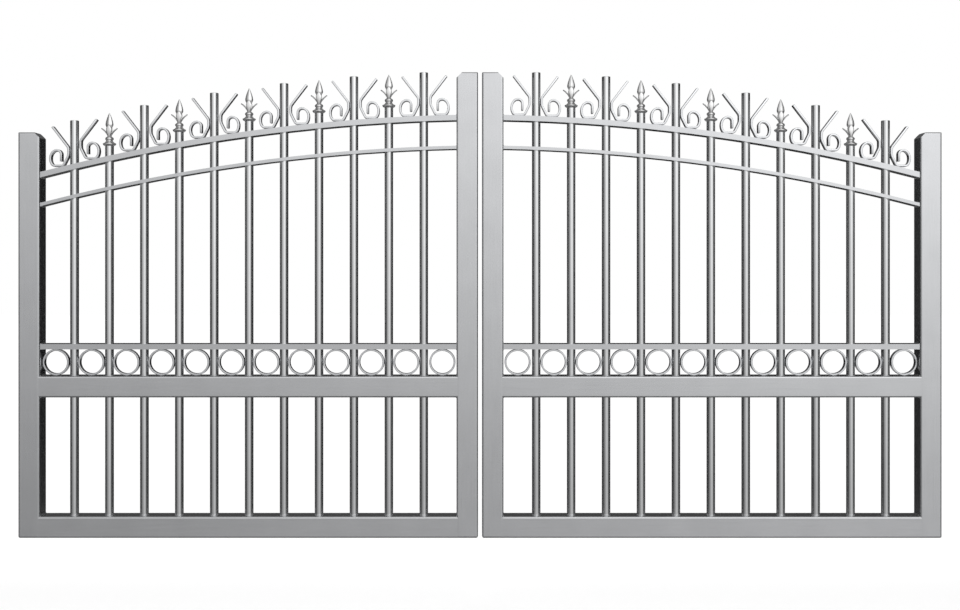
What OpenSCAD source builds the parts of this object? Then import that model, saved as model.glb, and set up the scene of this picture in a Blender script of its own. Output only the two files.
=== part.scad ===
// Aluminium swing gate: two mirror-image leaves with an arched top, hung on hinge brackets.
// X runs along the gate, Y from its front to its back, Z up. Lengths are in millimetres.
// The modules draw the leaf and brackets on the +X side of the gate's centre line, with the
// leaf's bottom at Z = 0 and its tubes centred on Y = 0. right() and left() put them in place.

/* [Leaf] */
// Width of one leaf over its stiles
leaf_w = 1712; // [1600:1:1900]
// Gap between the two closed leaves
meeting_gap = 15; // [12:1:30]
// Height of the hinge stile
hinge_stile_h = 1511; // [1480:1:1560]
// Height of the meeting stile
meeting_stile_h = 1735; // [1700:1:1790]
// Height of the middle rail's underside above the leaf's bottom
middle_rail_z = 523; // [400:1:650]
// Corner cut at the top of each stile, on the side of the bars
stile_cut = 21; // [10:1:30]
// Radius of the other top corner of each stile
stile_top_r = 4; // [2:0.5:8]
// Radius of the leaf's two bottom corners
leaf_corner_r = 9; // [5:0.5:15]

/* [Frame tube] */
// Side of the square frame tube
tube_side = 80; // [70:1:100]
// Wall of the frame tube
tube_wall = 3; // [2:0.5:4]
// Radius of the frame tube's long edges
tube_edge_r = 7; // [5:0.5:10]
// Gap between a rail's coped end and the stile it is welded to
cope_gap = 0.2; // [0.1:0.05:0.4]
// Step around the opening between a stile and the bottom rail
corner_lip = 2; // [1:0.5:6]

/* [Flat rails] */
// Depth of the ring rail and of the arched rails, front to back
flat_rail_depth = 64; // [50:1:66]
// Thickness of the ring rail
ring_rail_t = 20; // [12:1:30]
// Thickness of the top arch
top_arch_t = 20; // [12:1:30]
// Thickness of the lower arch
lower_arch_t = 12; // [8:1:20]
// Wall of the hollow flat rails
flat_rail_wall = 2; // [1.5:0.5:3]
// Radius of the arches' undersides
arch_r = 6762; // [6000:1:9000]
// Height of the top arch's underside at its crown
arch_crown_z = 1558; // [1540:1:1580]
// How far the crown lies beyond the gate's centre line
arch_crown_offset = 52; // [0:1:80]
// Distance from the top arch down to the lower arch, underside to underside
arch_drop = 107; // [90:1:160]

/* [Bars] */
// Number of bars in a leaf, an odd number
bar_count = 11; // [9:2:11]
// Outside diameter of a bar
bar_d = 32; // [25:1:36]
// Wall of a bar
bar_wall = 2; // [1.5:0.5:3]
// Gap around a bar in the holes it passes through
bar_fit = 0.25; // [0.1:0.05:0.4]
// Shift of the row of bars towards the hinge stile
bar_row_shift = 2.4; // [0:0.1:4]
// Height of the plain bars above the top arch
plain_bar_rise = 165; // [150:1:190]
// Height of the spear-headed bars above the top arch, up to the spear head
spear_bar_rise = 40; // [25:1:60]

/* [Rings] */
// Outside diameter of a ring
ring_d = 98.4; // [90:0.1:105]
// Wall of a ring
ring_wall = 7; // [3:0.5:10]
// Gap between a ring and the rails and bars around it
ring_fit = 0.3; // [0.2:0.05:0.4]

/* [Scrolls] */
// Width of the flat bar that the rings and scrolls are bent from
flat_bar_w = 25; // [16:1:40]
// Thickness of a scroll's flat bar
scroll_t = 8; // [4:0.5:10]
// Gap between a scroll's foot and the top arch
scroll_seat = 0.15; // [0.1:0.05:0.3]
// Shift of a bar's two scrolls towards the meeting stile
scroll_shift = 2.3; // [0:0.1:4]
// Gap between a bar and the upright stretch of the scroll on its outer side
knee_gap = 0.2; // [0.1:0.1:6]
// Height of the lower end of the upright stretch above the foot
knee_low_z = 39; // [30:1:44]
// Height of the upper end of the upright stretch above the foot
knee_high_z = 67; // [60:0.5:80]
// Distance from the pair's centre to a scroll's upper tip
tip_x = 83; // [70:1:86]
// Height of the upper tip above the foot
tip_z = 146; // [120:0.5:150]
// Start of the foot, from the pair's centre
foot_in_x = 42; // [38:1:48]
// End of the foot, from the pair's centre
foot_out_x = 75; // [70:1:78]
// Outermost point of the curl, from the pair's centre
curl_x = 90.5; // [86:0.5:96]
// Height of the curl's outermost point above the foot
curl_mid_z = 27; // [22:1:30]
// Height of the curl's top above the foot
curl_top_z = 58; // [50:1:64]
// Distance from the pair's centre to the curl's top
curl_top_x = 66; // [62:1:72]
// Radius of the curl's inner turn
curl_in_r = 16; // [12:0.5:18]
// Height of the curl's inner end above the foot
curl_end_z = 16; // [12:1:24]

/* [Spear heads] */
// Length of the stub inside the bar
stub_len = 15; // [8:1:30]
// Gap between the stub and the bar's bore
stub_fit = 0.2; // [0.1:0.05:0.4]
// Radius of the flange over the bar's end
flange_r = 24.5; // [20:0.5:30]
// Height of the flange's rim
flange_h = 9; // [6:0.5:12]
// Radius of the waist under the bead
waist_r = 12.3; // [9:0.1:14]
// Radius of the bead
bead_r = 15.5; // [13:0.5:20]
// Radius of the neck above the bead
neck_r = 6; // [4:0.5:8]
// Height of the blade's widest point
blade_mid_z = 79; // [74:1:88]
// Radius of the blade at its widest point
blade_r = 14.8; // [10:0.1:20]
// Height of a spear head from its flange to its tip
spear_h = 124; // [110:1:140]
// Distance of a leaf's tip from the spear's centre
leaf_tip_x = 31; // [24:1:36]
// Height of a leaf's tip above the flange
leaf_tip_z = 69; // [60:1:76]
// Thickness of a leaf at its root
leaf_t = 4.6; // [3:0.2:5]
// Breadth of a leaf
leaf_breadth = 17; // [8:1:20]

/* [Hinges] */
// Gap between a hinge stile and the face its brackets are bolted to
post_gap = 20; // [18:1:40]
// Thickness of a bracket's plate
plate_t = 8; // [6:1:10]
// Width of a bracket's plate
plate_w = 80; // [72:1:110]
// Height of a bracket's plate
plate_h = 160; // [140:1:220]
// Distance between the bolt holes across the plate
bolt_pitch_y = 50; // [40:1:52]
// Distance between the bolt holes up the plate
bolt_pitch_z = 120; // [100:1:124]
// Diameter of a bolt hole
bolt_hole_d = 11; // [9:0.5:13]
// Diameter of the hinge pin
pin_d = 16; // [12:1:18]
// Radial running gap between the pin and the eye
pin_fit = 0.05; // [0.02:0.01:0.1]
// Radius of the bracket's lug and of the eye around the pin
lug_r = 13; // [12:0.5:16]
// Thickness of the bracket's lug
lug_t = 12; // [8:1:20]
// Thickness of the rib under the lug
rib_t = 8; // [5:1:12]
// Height of the rib under the lug
rib_h = 34; // [20:1:40]
// Length of the leaf's eye
eye_len = 36; // [24:1:50]
// Running gap between the lug and the eye on it
eye_seat = 0.3; // [0.1:0.1:0.5]
// Length of the pin above the eye
pin_end = 6; // [3:1:12]
// Thickness of the eye's plate on the stile
eye_plate_t = 6; // [4:1:10]
// Width of the eye's plate
eye_plate_w = 56; // [40:1:60]
// Height of the eye's plate
eye_plate_h = 90; // [60:1:140]
// Thickness of the web between the plate and the eye
eye_web_t = 12; // [8:1:14]
// Clear distance between a turning eye and its bracket
hinge_clear = 5; // [5:0.5:8]
// Distance of the pin's centre in from the stile's outer face
pin_inset = 8; // [5:0.5:12]
// Height of the lower hinge's bracket centre
lower_hinge_z = 220; // [150:1:350]
// Height of the upper hinge's bracket centre
upper_hinge_z = 1300; // [1150:1:1380]

/* [Hidden] */
$fn = 64;

// Overshoot of a cutting shape past the face it cuts
over = 1;

// The leaf's faces along X, from the gate's centre line
leaf_in_x = meeting_gap / 2;
leaf_out_x = leaf_in_x + leaf_w;
infill_in_x = leaf_in_x + tube_side;
infill_out_x = leaf_out_x - tube_side;

// Heights of the rails that carry the rings
middle_rail_top = middle_rail_z + tube_side;
ring_rail_z = middle_rail_top + ring_d + 2 * ring_fit;

// The bars stand one ring apart
bar_r = bar_d / 2;
bar_pitch = bar_d + ring_d + 2 * ring_fit;
bar_row_x = (infill_in_x + infill_out_x) / 2 + bar_row_shift;
bar_foot_z = tube_wall + bar_fit;
function bar_x(i) = bar_row_x + (i - (bar_count - 1) / 2) * bar_pitch;

// The top arch's circle, and the height of its upper face over a place along X
arch_centre_z = arch_crown_z - arch_r;
function arch_top(x) = arch_centre_z
    + sqrt(pow(arch_r + top_arch_t, 2) - pow(x + arch_crown_offset, 2));

// Tallest thing that stands on the gate, for shapes that only cut
cut_h = max(meeting_stile_h, arch_crown_z + plain_bar_rise) + tube_side;

// The hinge's places along X and Y
pin_r = pin_d / 2;
pin_x = leaf_out_x - pin_inset;
pin_y = tube_side / 2 + eye_plate_t + hinge_clear + lug_r;
mount_x = leaf_out_x + post_gap;
plate_x = mount_x - plate_t;
plate_y = tube_side / 2 + hinge_clear + plate_w / 2;
// The lug's underside and top, from the bracket's centre
lug_top_z = -lug_t / 2;
lug_z = lug_top_z - lug_t;

// The gate's zero is the centre of the left lower bracket's bolted face.
module right() translate([mount_x, -plate_y, -lower_hinge_z]) children();
module left() right() mirror([1, 0, 0]) children();

// ---------- shapes shared by several pieces ----------

module rounded_rect(w, h, r) {
    square([w - 2 * r, h], center = true);
    square([w, h - 2 * r], center = true);
    for (x = [-1, 1], y = [-1, 1])
        translate([x * (w / 2 - r), y * (h / 2 - r)]) circle(r);
}

// What rounding takes off a corner at the origin whose sides run along +X and +Y
module corner_bite(r) {
    difference() {
        translate([-over, -over]) square(r + over);
        translate([r, r]) circle(r);
    }
}

// A bar along X with a cross-section drawn in Y and Z
module along_x(x0, x1) {
    translate([x0, 0, 0]) rotate([90, 0, 90]) linear_extrude(height = x1 - x0) children();
}

// A slab through the leaf with an outline drawn in X and Z
module through_y(depth) {
    translate([0, depth / 2, 0]) rotate([90, 0, 0]) linear_extrude(height = depth) children();
}

// Holes for a run of bars, between two heights
module bar_holes(z0, z1) {
    for (i = [0:bar_count - 1])
        translate([bar_x(i), 0, z0]) cylinder(h = z1 - z0, r = bar_r + bar_fit);
}

// A flat strip of thickness t along a path of points, mitred at each bend
function unit(v) = v / norm(v);
function edge_normal(a, b) = let (d = unit(b - a)) [-d[1], d[0]];
function mitre(path, i) = let (
        last = len(path) - 1,
        before = edge_normal(path[max(i - 1, 0)], path[max(i, 1)]),
        after = edge_normal(path[min(i, last - 1)], path[min(i + 1, last)]),
        sum = before + after
    ) sum / (1 + before * after);
function strip(path, t) = concat(
    [for (i = [0:len(path) - 1]) path[i] + mitre(path, i) * t / 2],
    [for (i = [len(path) - 1:-1:0]) path[i] - mitre(path, i) * t / 2]
);
function arc(centre, rx, ry, from, to, steps) = [
    for (k = [1:steps]) let (a = from + (to - from) * k / steps)
        centre + [rx * cos(a), ry * sin(a)]
];

// ---------- stiles ----------

// A stile's outside, or its bore where inset is the wall. Its outer side is at X = 0.
module stile_shape(h, inset, foot_r) {
    side = tube_side - 2 * inset;
    intersection() {
        translate([tube_side / 2, 0, 0]) linear_extrude(height = h)
            rounded_rect(side, side, tube_edge_r - inset);
        through_y(tube_side + over) difference() {
            translate([inset, inset]) square([side, h - 2 * inset]);
            translate([inset, inset]) corner_bite(foot_r - inset);
            translate([inset, h - inset]) mirror([0, 1]) corner_bite(stile_top_r);
            translate([tube_side, h]) rotate(45)
                square(2 * (stile_cut / sqrt(2) + inset), center = true);
        }
        along_x(0, tube_side) translate([0, h / 2])
            rounded_rect(tube_side, h, tube_edge_r);
    }
}

module stile(h, foot_r) {
    difference() {
        stile_shape(h, 0, foot_r);
        stile_shape(h, tube_wall, foot_r);
        // open into the bottom rail
        along_x(tube_side - tube_wall - over, tube_side + over)
            translate([0, tube_side / 2])
            rounded_rect(tube_side - 2 * (tube_wall + corner_lip),
                tube_side - 2 * (tube_wall + corner_lip), tube_edge_r - tube_wall);
    }
}

module hinge_stile() {
    color("silver") translate([leaf_out_x, 0, 0]) mirror([1, 0, 0])
        stile(hinge_stile_h, leaf_corner_r);
}

module meeting_stile() {
    color("silver") translate([leaf_in_x, 0, 0]) stile(meeting_stile_h, leaf_corner_r);
}

// ---------- rails ----------

// Room for both stiles, with the gap at a coped end
module stile_room(z0, z1) {
    side = tube_side + 2 * cope_gap;
    for (x = [leaf_in_x, leaf_out_x - tube_side])
        translate([x + tube_side / 2, 0, z0]) linear_extrude(height = z1 - z0)
            rounded_rect(side, side, tube_edge_r + cope_gap);
}

// A square rail whose ends are coped around the stiles' rounded edges
module square_rail(z) {
    bore = tube_side - 2 * tube_wall;
    difference() {
        along_x(infill_in_x - tube_edge_r, infill_out_x + tube_edge_r)
            translate([0, z + tube_side / 2]) rounded_rect(tube_side, tube_side, tube_edge_r);
        along_x(leaf_in_x, leaf_out_x)
            translate([0, z + tube_side / 2]) rounded_rect(bore, bore, tube_edge_r - tube_wall);
        stile_room(z - over, z + tube_side + over);
    }
}

module bottom_rail() {
    color("silver") difference() {
        square_rail(0);
        bar_holes(tube_side / 2, tube_side + over);
    }
}

module middle_rail() {
    color("silver") difference() {
        square_rail(middle_rail_z);
        bar_holes(middle_rail_z - over, middle_rail_top + over);
    }
}

module ring_rail() {
    color("silver") difference() {
        along_x(infill_in_x + cope_gap, infill_out_x - cope_gap)
            translate([-flat_rail_depth / 2, ring_rail_z]) square([flat_rail_depth, ring_rail_t]);
        along_x(infill_in_x - over, infill_out_x + over)
            translate([flat_rail_wall - flat_rail_depth / 2, ring_rail_z + flat_rail_wall])
            square([flat_rail_depth - 2 * flat_rail_wall, ring_rail_t - 2 * flat_rail_wall]);
        bar_holes(ring_rail_z - over, ring_rail_z + ring_rail_t + over);
    }
}

// ---------- arched rails ----------

// A band of the arch between two distances from its underside, seen from the front
module arch_band(r0, r1, x0, x1) {
    intersection() {
        translate([-arch_crown_offset, arch_centre_z]) difference() {
            circle(arch_r + r1, $fn = 2000);
            circle(arch_r + r0, $fn = 2000);
        }
        translate([x0, 0]) square([x1 - x0, cut_h]);
    }
}

module top_arch() {
    color("gainsboro") difference() {
        through_y(flat_rail_depth)
            arch_band(0, top_arch_t, infill_in_x + cope_gap, infill_out_x - cope_gap);
        through_y(flat_rail_depth - 2 * flat_rail_wall)
            arch_band(flat_rail_wall, top_arch_t - flat_rail_wall,
                infill_in_x - over, infill_out_x + over);
        bar_holes(middle_rail_top, cut_h);
    }
}

module lower_arch() {
    color("gainsboro") difference() {
        translate([0, 0, -arch_drop]) through_y(flat_rail_depth)
            arch_band(0, lower_arch_t, infill_in_x + cope_gap, infill_out_x - cope_gap);
        bar_holes(middle_rail_top, cut_h);
    }
}

// ---------- bars ----------

// Every second bar from either stile is plain, and the bars between them carry spears.
module plain_bars() {
    color("gainsboro") for (i = [0:2:bar_count - 1]) {
        h = arch_top(bar_x(i)) + plain_bar_rise - bar_foot_z;
        translate([bar_x(i), 0, bar_foot_z]) difference() {
            cylinder(h = h, r = bar_r);
            translate([0, 0, -over]) cylinder(h = h + over - bar_wall, r = bar_r - bar_wall);
        }
    }
}

module spear_bars() {
    color("gainsboro") for (i = [1:2:bar_count - 2]) {
        h = arch_top(bar_x(i)) + spear_bar_rise - bar_foot_z;
        translate([bar_x(i), 0, bar_foot_z]) difference() {
            cylinder(h = h, r = bar_r);
            translate([0, 0, -over]) cylinder(h = h + 2 * over, r = bar_r - bar_wall);
        }
    }
}

// ---------- spear heads ----------

// Half of a spear head's outline: distance from its centre, height above the flange
spear_outline = [
    [0, -stub_len],
    [bar_r - bar_wall - stub_fit, -stub_len],
    [bar_r - bar_wall - stub_fit, 0],
    [flange_r - 3, 0],
    [flange_r - 0.6, 2.4],
    [flange_r, 0.6 * flange_h],
    [flange_r - 1.6, flange_h],
    [(flange_r + waist_r) / 2 - 0.8, flange_h + 3.2],
    [waist_r + 1.8, flange_h + 6.4],
    [waist_r, flange_h + 9.5],
    [waist_r + 0.4, flange_h + 12],
    [bead_r - 1, flange_h + 14.4],
    [bead_r, flange_h + 17.4],
    [bead_r - 1, flange_h + 20.6],
    [neck_r + 4, flange_h + 23.6],
    [neck_r, flange_h + 27],
    [neck_r - 0.5, blade_mid_z - 26],
    [neck_r + 2, blade_mid_z - 13],
    [blade_r - 1.2, blade_mid_z - 3],
    [blade_r, blade_mid_z],
    [blade_r - 1, blade_mid_z + 8],
    [0.6 * blade_r, blade_mid_z + 0.55 * (spear_h - blade_mid_z)],
    [0.25 * blade_r, blade_mid_z + 0.86 * (spear_h - blade_mid_z)],
    [0, spear_h]
];

// The line a leaf follows, out from the neck and up to its tip
leaf_root_z = flange_h + 26;
leaf_line = [
    [neck_r - 2.5, leaf_root_z],
    [neck_r + 0.5, leaf_root_z + 0.28 * (leaf_tip_z - leaf_root_z)],
    [neck_r + 0.22 * (leaf_tip_x - neck_r), leaf_root_z + 0.54 * (leaf_tip_z - leaf_root_z)],
    [neck_r + 0.56 * (leaf_tip_x - neck_r), leaf_root_z + 0.79 * (leaf_tip_z - leaf_root_z)],
    [leaf_tip_x, leaf_tip_z]
];

module spear_head() {
    rotate_extrude() polygon(spear_outline);
    for (turn = [0:90:270])
        rotate(turn) through_y(leaf_breadth) polygon(strip(leaf_line, leaf_t));
}

module spear_heads() {
    color("lightgray") for (i = [1:2:bar_count - 2])
        translate([bar_x(i), 0, arch_top(bar_x(i)) + spear_bar_rise]) spear_head();
}

// ---------- scrolls ----------

// Distance from the scroll pair's centre to the centre line of an upright stretch
knee_x = bar_r + knee_gap + scroll_t / 2 + scroll_shift;

// The scroll's centre line, out from the pair's centre and up from the foot's
scroll_line = concat(
    [[tip_x, tip_z], [knee_x, knee_high_z], [knee_x, knee_low_z], [foot_in_x, 0], [foot_out_x, 0]],
    arc([foot_out_x, curl_mid_z], curl_x - foot_out_x, curl_mid_z, -90, 0, 6),
    arc([curl_top_x, curl_mid_z], curl_x - curl_top_x, curl_top_z - curl_mid_z, 0, 90, 7),
    arc([curl_top_x, curl_top_z - curl_in_r], curl_in_r, curl_in_r, 90, 180, 6),
    [[curl_top_x - curl_in_r, curl_end_z]]
);

// A foot touches the arch at whichever of its ends lies higher.
foot_heel_x = foot_in_x - scroll_t / 3;
foot_toe_x = foot_out_x + scroll_t / 2;
function foot_z(x, side) = scroll_seat
    + max(arch_top(x + side * foot_heel_x), arch_top(x + side * foot_toe_x));

module scrolls() {
    color("lightgray") for (i = [0:2:bar_count - 1], side = [-1, 1]) let (x = bar_x(i) - scroll_shift)
        translate([x, 0, foot_z(x, side) + scroll_t / 2])
        mirror([side < 0 ? 1 : 0, 0, 0])
        through_y(flat_bar_w) polygon(strip(scroll_line, scroll_t));
}

// ---------- rings ----------

module ring(x) {
    translate([x, flat_bar_w / 2, middle_rail_top + ring_fit + ring_d / 2]) rotate([90, 0, 0])
    difference() {
        cylinder(h = flat_bar_w, r = ring_d / 2);
        translate([0, 0, -over]) cylinder(h = flat_bar_w + 2 * over, r = ring_d / 2 - ring_wall);
    }
}

// One ring between each two bars, and one between each end bar and its stile
module rings() {
    color("lightgray") {
        for (i = [0:bar_count - 2]) ring((bar_x(i) + bar_x(i + 1)) / 2);
        ring((infill_in_x + bar_x(0) - bar_r) / 2);
        ring((infill_out_x + bar_x(bar_count - 1) + bar_r) / 2);
    }
}

// ---------- hinges ----------

// The leaf's eye: a plate on the back of the stile, a web, and a bored eye on the pin
module eye(z) {
    plate_x1 = pin_x + eye_web_t / 2;
    color("darkgray") difference() {
        union() {
            translate([plate_x1 - eye_plate_w, tube_side / 2, z - eye_plate_h / 2])
                cube([eye_plate_w, eye_plate_t, eye_plate_h]);
            translate([pin_x - eye_web_t / 2, tube_side / 2 + eye_plate_t / 2, z + lug_top_z + eye_seat])
                cube([eye_web_t, pin_y - tube_side / 2 - eye_plate_t / 2, eye_len]);
            translate([pin_x, pin_y, z + lug_top_z + eye_seat]) cylinder(h = eye_len, r = lug_r);
        }
        translate([pin_x, pin_y, z + lug_top_z + eye_seat - over])
            cylinder(h = eye_len + 2 * over, r = pin_r + pin_fit);
    }
}

// The bracket: a bolted plate, a lug on a rib, and the pin that stands on the lug
module bracket(z) {
    color("gray") union() {
        difference() {
            translate([plate_x, plate_y - plate_w / 2, z - plate_h / 2])
                cube([plate_t, plate_w, plate_h]);
            for (y = [-1, 1], up = [-1, 1])
                translate([plate_x - over, plate_y + y * bolt_pitch_y / 2, z + up * bolt_pitch_z / 2])
                rotate([0, 90, 0]) cylinder(h = plate_t + 2 * over, d = bolt_hole_d);
        }
        translate([pin_x, pin_y, z + lug_z]) cylinder(h = lug_t, r = lug_r);
        translate([pin_x, pin_y - lug_r, z + lug_z])
            cube([plate_x + plate_t / 2 - pin_x, 2 * lug_r, lug_t]);
        translate([0, pin_y, 0]) through_y(rib_t) polygon([
            [pin_x, z + lug_z + lug_t / 2],
            [plate_x + plate_t / 2, z + lug_z + lug_t / 2],
            [plate_x + plate_t / 2, z + lug_z - rib_h],
            [pin_x, z + lug_z - over]
        ]);
        translate([pin_x, pin_y, z + lug_z])
            cylinder(h = lug_t + eye_seat + eye_len + pin_end, r = pin_r);
    }
}

left() hinge_stile();  // left_hinge_stile
left() meeting_stile();  // left_meeting_stile
left() bottom_rail();  // left_bottom_rail
left() middle_rail();  // left_middle_rail
left() ring_rail();  // left_ring_rail
left() top_arch();  // left_top_arch
left() lower_arch();  // left_lower_arch
left() plain_bars();  // left_plain_bars
left() spear_bars();  // left_spear_bars
left() spear_heads();  // left_spear_heads
left() scrolls();  // left_scrolls
left() rings();  // left_rings
left() eye(lower_hinge_z);  // left_lower_eye
left() eye(upper_hinge_z);  // left_upper_eye
left() bracket(lower_hinge_z);  // left_lower_bracket
left() bracket(upper_hinge_z);  // left_upper_bracket
right() hinge_stile();  // right_hinge_stile
right() meeting_stile();  // right_meeting_stile
right() bottom_rail();  // right_bottom_rail
right() middle_rail();  // right_middle_rail
right() ring_rail();  // right_ring_rail
right() top_arch();  // right_top_arch
right() lower_arch();  // right_lower_arch
right() plain_bars();  // right_plain_bars
right() spear_bars();  // right_spear_bars
right() spear_heads();  // right_spear_heads
right() scrolls();  // right_scrolls
right() rings();  // right_rings
right() eye(lower_hinge_z);  // right_lower_eye
right() eye(upper_hinge_z);  // right_upper_eye
right() bracket(lower_hinge_z);  // right_lower_bracket
right() bracket(upper_hinge_z);  // right_upper_bracket
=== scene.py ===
"""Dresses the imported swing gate: finishes, bars, bent and cast ornament, hinge fittings and welds."""

import math

import bmesh
import bpy
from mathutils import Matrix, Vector


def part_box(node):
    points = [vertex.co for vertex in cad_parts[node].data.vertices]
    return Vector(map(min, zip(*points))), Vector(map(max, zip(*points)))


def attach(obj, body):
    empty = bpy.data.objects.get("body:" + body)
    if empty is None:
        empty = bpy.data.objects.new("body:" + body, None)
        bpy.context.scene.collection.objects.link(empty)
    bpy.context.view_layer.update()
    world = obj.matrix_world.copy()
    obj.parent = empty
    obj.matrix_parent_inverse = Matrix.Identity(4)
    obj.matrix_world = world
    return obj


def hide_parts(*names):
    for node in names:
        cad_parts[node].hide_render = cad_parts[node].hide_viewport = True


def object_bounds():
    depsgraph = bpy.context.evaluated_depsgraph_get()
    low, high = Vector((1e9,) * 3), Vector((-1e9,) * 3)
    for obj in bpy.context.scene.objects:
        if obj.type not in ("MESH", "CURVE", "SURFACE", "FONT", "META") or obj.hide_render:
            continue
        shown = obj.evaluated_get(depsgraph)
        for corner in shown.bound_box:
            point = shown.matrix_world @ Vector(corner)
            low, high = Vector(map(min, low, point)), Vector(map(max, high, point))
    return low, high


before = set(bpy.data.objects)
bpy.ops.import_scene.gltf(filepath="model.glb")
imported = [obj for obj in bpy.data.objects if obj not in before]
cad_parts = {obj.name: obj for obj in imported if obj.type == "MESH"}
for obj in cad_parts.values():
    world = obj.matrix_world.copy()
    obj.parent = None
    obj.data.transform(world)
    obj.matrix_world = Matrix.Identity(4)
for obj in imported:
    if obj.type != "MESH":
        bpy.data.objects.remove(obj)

bl_info = {
    "name": "Swing gate",
    "version": (1, 0, 0),
    "blender": (4, 5, 0),
    "location": "View3D > Sidebar > Gate",
    "description": "Finishes and ornament for a double-leaf aluminium gate",
    "category": "Add Mesh",
}

CAD_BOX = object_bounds()
SIDES = ("left", "right")
MM = 0.001
# Rounding along the edges of the bent flat bar
BENT_EDGE = 1.7 * MM
# Blender's rotate operator turns against the right-hand rule when no window is open.
ROTATE_SIGN = -1


# ---------- colours and properties ----------

def linear(code):
    """A linear colour with alpha from an sRGB hex code."""
    values = [int(code[i:i + 2], 16) / 255 for i in (1, 3, 5)]
    return [v / 12.92 if v <= 0.04045 else ((v + 0.055) / 1.055) ** 2.4 for v in values] + [1.0]


def colour(name, description, code):
    """A colour that a user can change, from its sRGB hex code."""
    return bpy.props.FloatVectorProperty(name=name, description=description, subtype="COLOR", size=4,
                                         min=0, max=1, default=linear(code))


def length(name, description, millimetres):
    """A size that a user can change, from its millimetres."""
    return bpy.props.FloatProperty(name=name, description=description, unit="LENGTH", min=0,
                                   default=millimetres * MM)


class GateFinishes(bpy.types.PropertyGroup):
    """Colours of the metals and of the studio."""
    tube: colour("Frame tube", "Satin extruded tube of the leaves' frames", "#CACBCD")
    flat: colour("Flat rails", "Satin extruded flat rails and arches", "#CACBCD")
    # painted light: the bars, bent bar and castings are the frame's aluminium, given lighter greys so
    # that they shine brighter than the frame
    bar: colour("Bars", "Satin drawn round tube", "#DCDDDE")
    bent: colour("Bent bar", "Bent flat bar of the scrolls and rings", "#D8D9DB")
    cast: colour("Castings", "Tumbled castings of the spear heads", "#DEDEDE")
    zinc: colour("Zinc", "Zinc-plated hinges and bolts", "#AEB2B6")
    floor: colour("Floor", "Pale studio floor", "#F4F4F4")


class GateScrolls(bpy.types.PropertyGroup):
    """A scroll's line, measured out from the middle of its pair and up from its foot's centre line."""
    thickness: length("Thickness", "Thickness of the flat bar", 8)
    tip_x: length("Tip distance", "Upper tip, out from the pair's centre", 83)
    tip_z: length("Tip height", "Upper tip, above the foot", 146)
    knee_x: length("Knee distance", "Upright stretch, out from the pair's centre", 22.5)
    knee_high: length("Knee top", "Upper end of the upright stretch", 67)
    knee_low: length("Knee bottom", "Lower end of the upright stretch", 39)
    foot_in: length("Foot start", "Start of the flat foot, out from the pair's centre", 42)
    foot_out: length("Foot end", "End of the flat foot, out from the pair's centre", 75)
    curl_x: length("Curl reach", "Outermost point of the curl", 90.5)
    curl_mid: length("Curl middle", "Height of the curl's outermost point", 27)
    curl_top_x: length("Curl top distance", "Top of the curl, out from the pair's centre", 66)
    curl_top: length("Curl top height", "Top of the curl, above the foot", 58)
    curl_in: length("Inner radius", "Radius of the curl's inner turn", 16)
    curl_end: length("Curl end", "Height of the curl's inner end", 16)


# ---------- small tools for modelling ----------

def deselect():
    """Leaves nothing selected, because an operator acts on all that is."""
    if bpy.context.object and bpy.context.object.mode != "OBJECT":
        bpy.ops.object.mode_set(mode="OBJECT")
    bpy.ops.object.select_all(action="DESELECT")


def make_active(obj):
    """Selects one object and no other."""
    deselect()
    obj.select_set(True)
    bpy.context.view_layer.objects.active = obj
    return obj


def edit(obj):
    """Opens a piece's mesh for editing."""
    make_active(obj)
    bpy.ops.object.mode_set(mode="EDIT")


def done():
    """Ends the editing."""
    bpy.ops.object.mode_set(mode="OBJECT")


def pick(obj, mode, test):
    """In edit mode, selects the vertices, edges or faces whose centres pass the test, and no others."""
    bpy.ops.mesh.select_mode(type=mode)
    bpy.ops.mesh.select_all(action="DESELECT")
    mesh = bmesh.from_edit_mesh(obj.data)
    for part in {"VERT": mesh.verts, "EDGE": mesh.edges, "FACE": mesh.faces}[mode]:
        if mode == "VERT":
            centre = part.co
        else:
            centre = sum((v.co for v in part.verts), Vector()) / len(part.verts)
        if test(centre, part):
            part.select_set(True)
    mesh.select_flush_mode()
    bmesh.update_edit_mesh(obj.data)


def shift(obj, offset):
    """Moves a piece's mesh and leaves its object where it is."""
    edit(obj)
    bpy.ops.mesh.select_all(action="SELECT")
    bpy.ops.transform.translate(value=offset)
    done()


def turned(obj, axis, centre, angle=math.pi / 2):
    """Turns a piece's mesh about an axis through centre, by the right-hand rule."""
    edit(obj)
    bpy.ops.mesh.select_all(action="SELECT")
    bpy.ops.transform.rotate(value=ROTATE_SIGN * angle, orient_axis=axis, center_override=centre)
    done()
    return obj


def mirror_x(obj, x):
    """Turns a piece's mesh over about the plane at x, with its faces still outwards."""
    edit(obj)
    bpy.ops.mesh.select_all(action="SELECT")
    bpy.ops.transform.resize(value=(-1, 1, 1), center_override=(x, 0, 0))
    bpy.ops.mesh.normals_make_consistent(inside=False)
    done()


def copy_of(obj, name):
    """A copy with a mesh of its own."""
    other = obj.copy()
    other.data = obj.data.copy()
    other.name = name
    bpy.context.scene.collection.objects.link(other)
    return other


def joined(objs, name):
    """The first of the pieces, with the rest joined into it."""
    deselect()
    for obj in objs:
        obj.select_set(True)
    bpy.context.view_layer.objects.active = objs[0]
    if len(objs) > 1:
        bpy.ops.object.join()
    objs[0].name = name
    objs[0].data.name = name
    return objs[0]


def settle(obj):
    """Puts a piece's place into its mesh, with its object at the origin."""
    make_active(obj)
    bpy.ops.object.transform_apply(location=True, rotation=True, scale=True)
    return obj


def bevel(obj, width, segments, angle=40, level=False):
    """Rounds a piece's sharp edges for good. Where level is set, its flat faces stay shaded flat."""
    smooth(obj, 180)
    modifier = obj.modifiers.new("Rounded edges", "BEVEL")
    modifier.harden_normals = level
    modifier.width = width
    modifier.segments = segments
    modifier.limit_method = "ANGLE"
    modifier.angle_limit = math.radians(angle)
    bpy.ops.object.modifier_apply(modifier=modifier.name)
    return obj if level else smooth(obj)


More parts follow.
